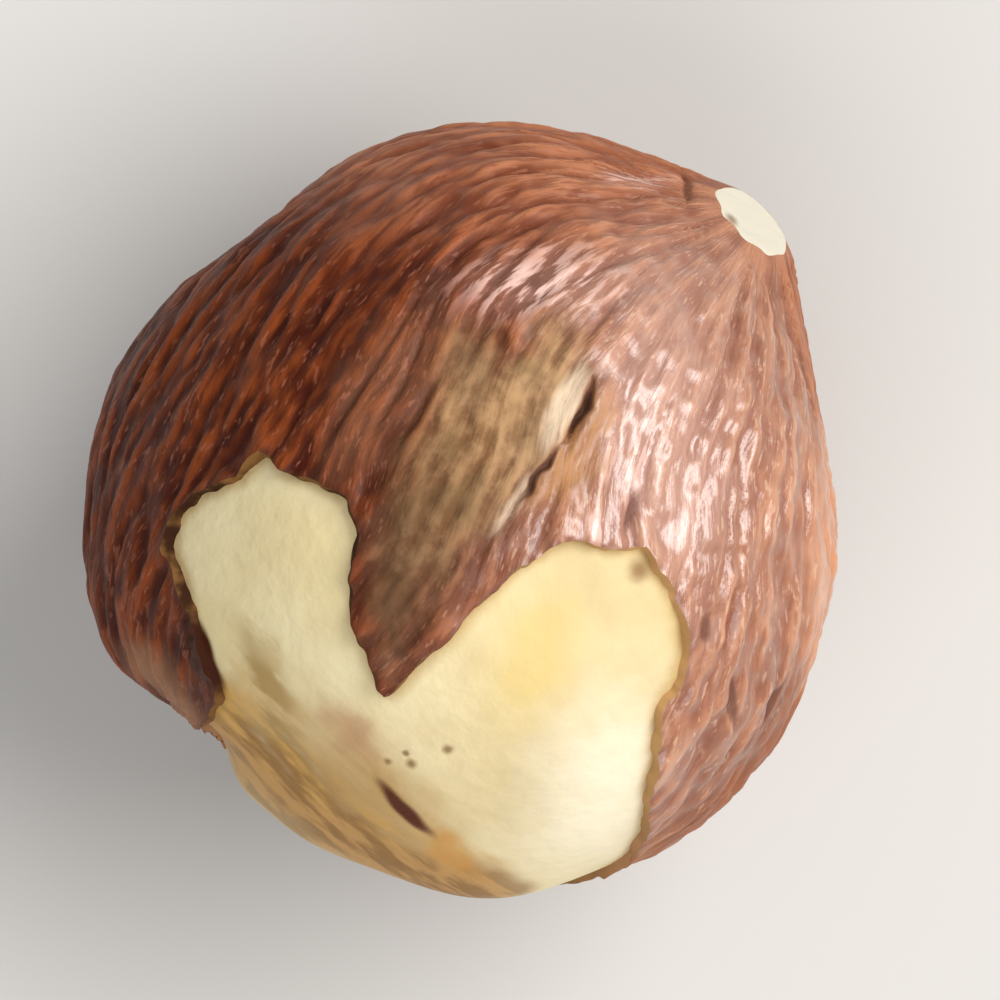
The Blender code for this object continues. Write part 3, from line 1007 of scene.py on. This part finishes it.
flesh.surface({
    "Base Color": cream,
    "Roughness": 0.48,
    "Specular IOR Level": 0.15,
    "Subsurface Weight": 0.12,
    "Subsurface Radius": (0.0010, 0.0007, 0.0004),
    "Subsurface Scale": 1.0,
})
flesh.emboss(flesh.grain(where, PORE_SCALE, 3.0, 0.5), FLESH_BUMP)
flesh.wear()
print("the flesh is waxy")

# %% [markdown]
# The torn edge of the skin is a thin dry wall. It is dark where the skin is dark. On the pale side
# it is painted paler than its face, painted light that lifts the shade of a wall turned from the
# lamp, and by the tongue's left side it is painted darker as a painted shadow. A finish of its own
# is the simplest way to a crisp line, because the strip of cells is already cut.

# %% Mix the torn edge
EDGE_GRAIN_SCALE = 1500.0
EDGE_TINTS = {
    # Painted light and shadow: the pale side's tint lifts the shade of a wall turned from the lamp,
    # and the widened edge is darkened as a painted shadow.
    "pale_and_lit_side": (1.0, (196, 152, 100)),
    "wide_edge_shadow": (0.8, (60, 28, 14)),
    "sliver": (0.8, (176, 130, 92)),
}

edge = Finish("hazelnut_torn_edge")
where = edge.add("ShaderNodeTexCoord", "Object", {})
rust_grain = edge.ramp(edge.grain(where, EDGE_GRAIN_SCALE), 0.38, 0.62)
rust = edge.blend(rust_grain, paint(56, 30, 14), paint(124, 86, 46))
rust = edge.tint(rust, EDGE_TINTS)
# The slit is painted shade, dark where a narrow gap would be.
rust = edge.lay(rust, edge.ramp(edge.kept("slit"), 0.0, 0.8), (58, 26, 12))
edge.surface({"Base Color": rust, "Roughness": 0.75, "Specular IOR Level": 0.1})
edge.wear()
print("the kernel wears", len(kernel_mesh.materials), "finishes")

# %% [markdown]
# ## Floor, light and camera
#
# A plain pale floor and soft light keep the eye on the kernel. One broad lamp stands to the
# right of the picture and a weaker one fills from below. The camera looks straight down, and it
# is turned so that the tip points up and to the right. A long lens from far away keeps the
# outline true.

# %% Lay the floor
FLOOR_SIDE = 1.2
bpy.ops.mesh.primitive_plane_add(size=FLOOR_SIDE)
floor = bpy.context.active_object
floor.name = "pale_floor"
floor_finish = Finish("pale_floor")
floor_finish.shader.inputs["Base Color"].default_value = paint(206, 203, 198)
floor_finish.shader.inputs["Roughness"].default_value = 0.8
floor.data.materials.append(floor_finish.material)
floor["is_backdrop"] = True
print("floor is", FLOOR_SIDE, "m wide")

# %% Hang the lamps
PICTURE_TURN = math.radians(-43.6)
kernel_middle = Vector(MIDDLE) * MM


def lamp(name, clock, elevation, distance, length, width, power, colour):
    """A lamp panel aimed at the kernel. The clock angle is in the picture, from its right side."""
    light = bpy.data.lights.new(name, "AREA")
    light.shape = "RECTANGLE"
    light.size, light.size_y = length, width
    light.energy = power
    light.color = colour
    holder = bpy.data.objects.new(name, light)
    turn, rise = math.radians(clock) + PICTURE_TURN, math.radians(elevation)
    level = math.cos(rise)
    away = Vector((level * math.cos(turn), level * math.sin(turn), math.sin(rise)))
    holder.location = kernel_middle + away * distance
    holder.rotation_euler = away.to_track_quat("Z", "Y").to_euler()
    bpy.context.collection.objects.link(holder)


lamp("key_lamp", 20, 49, 0.35, 0.40, 0.17, 1.55, (1.0, 0.99, 0.98))
lamp("fill_lamp", 255, 50, 0.35, 0.30, 0.30, 0.6, (0.97, 0.98, 1.0))
world = bpy.data.worlds.new("soft_room")
world.use_nodes = True
world.node_tree.nodes["Background"].inputs["Color"].default_value = (0.95, 0.97, 1.0, 1.0)
world.node_tree.nodes["Background"].inputs["Strength"].default_value = 0.30
bpy.context.scene.world = world

# %% Set up the camera
LENS, SENSOR = 500.0, 36.0
PICTURE_WIDTH = 0.0190
camera = bpy.data.objects.new("camera", bpy.data.cameras.new("camera"))
camera.data.lens = LENS
camera.data.sensor_width = SENSOR
low_corner, high_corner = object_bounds()
middle = (low_corner + high_corner) / 2
camera.location = (middle.x, middle.y, middle.z + PICTURE_WIDTH * LENS / SENSOR)
camera.rotation_euler = (0.0, 0.0, PICTURE_TURN)
bpy.context.collection.objects.link(camera)
bpy.context.scene.camera = camera
bpy.context.scene.view_settings.view_transform = "Standard"
print("the camera is", round(camera.location.z, 3), "m up")

# %% [markdown]
# The dressed kernel has to keep the packed kernel's size.
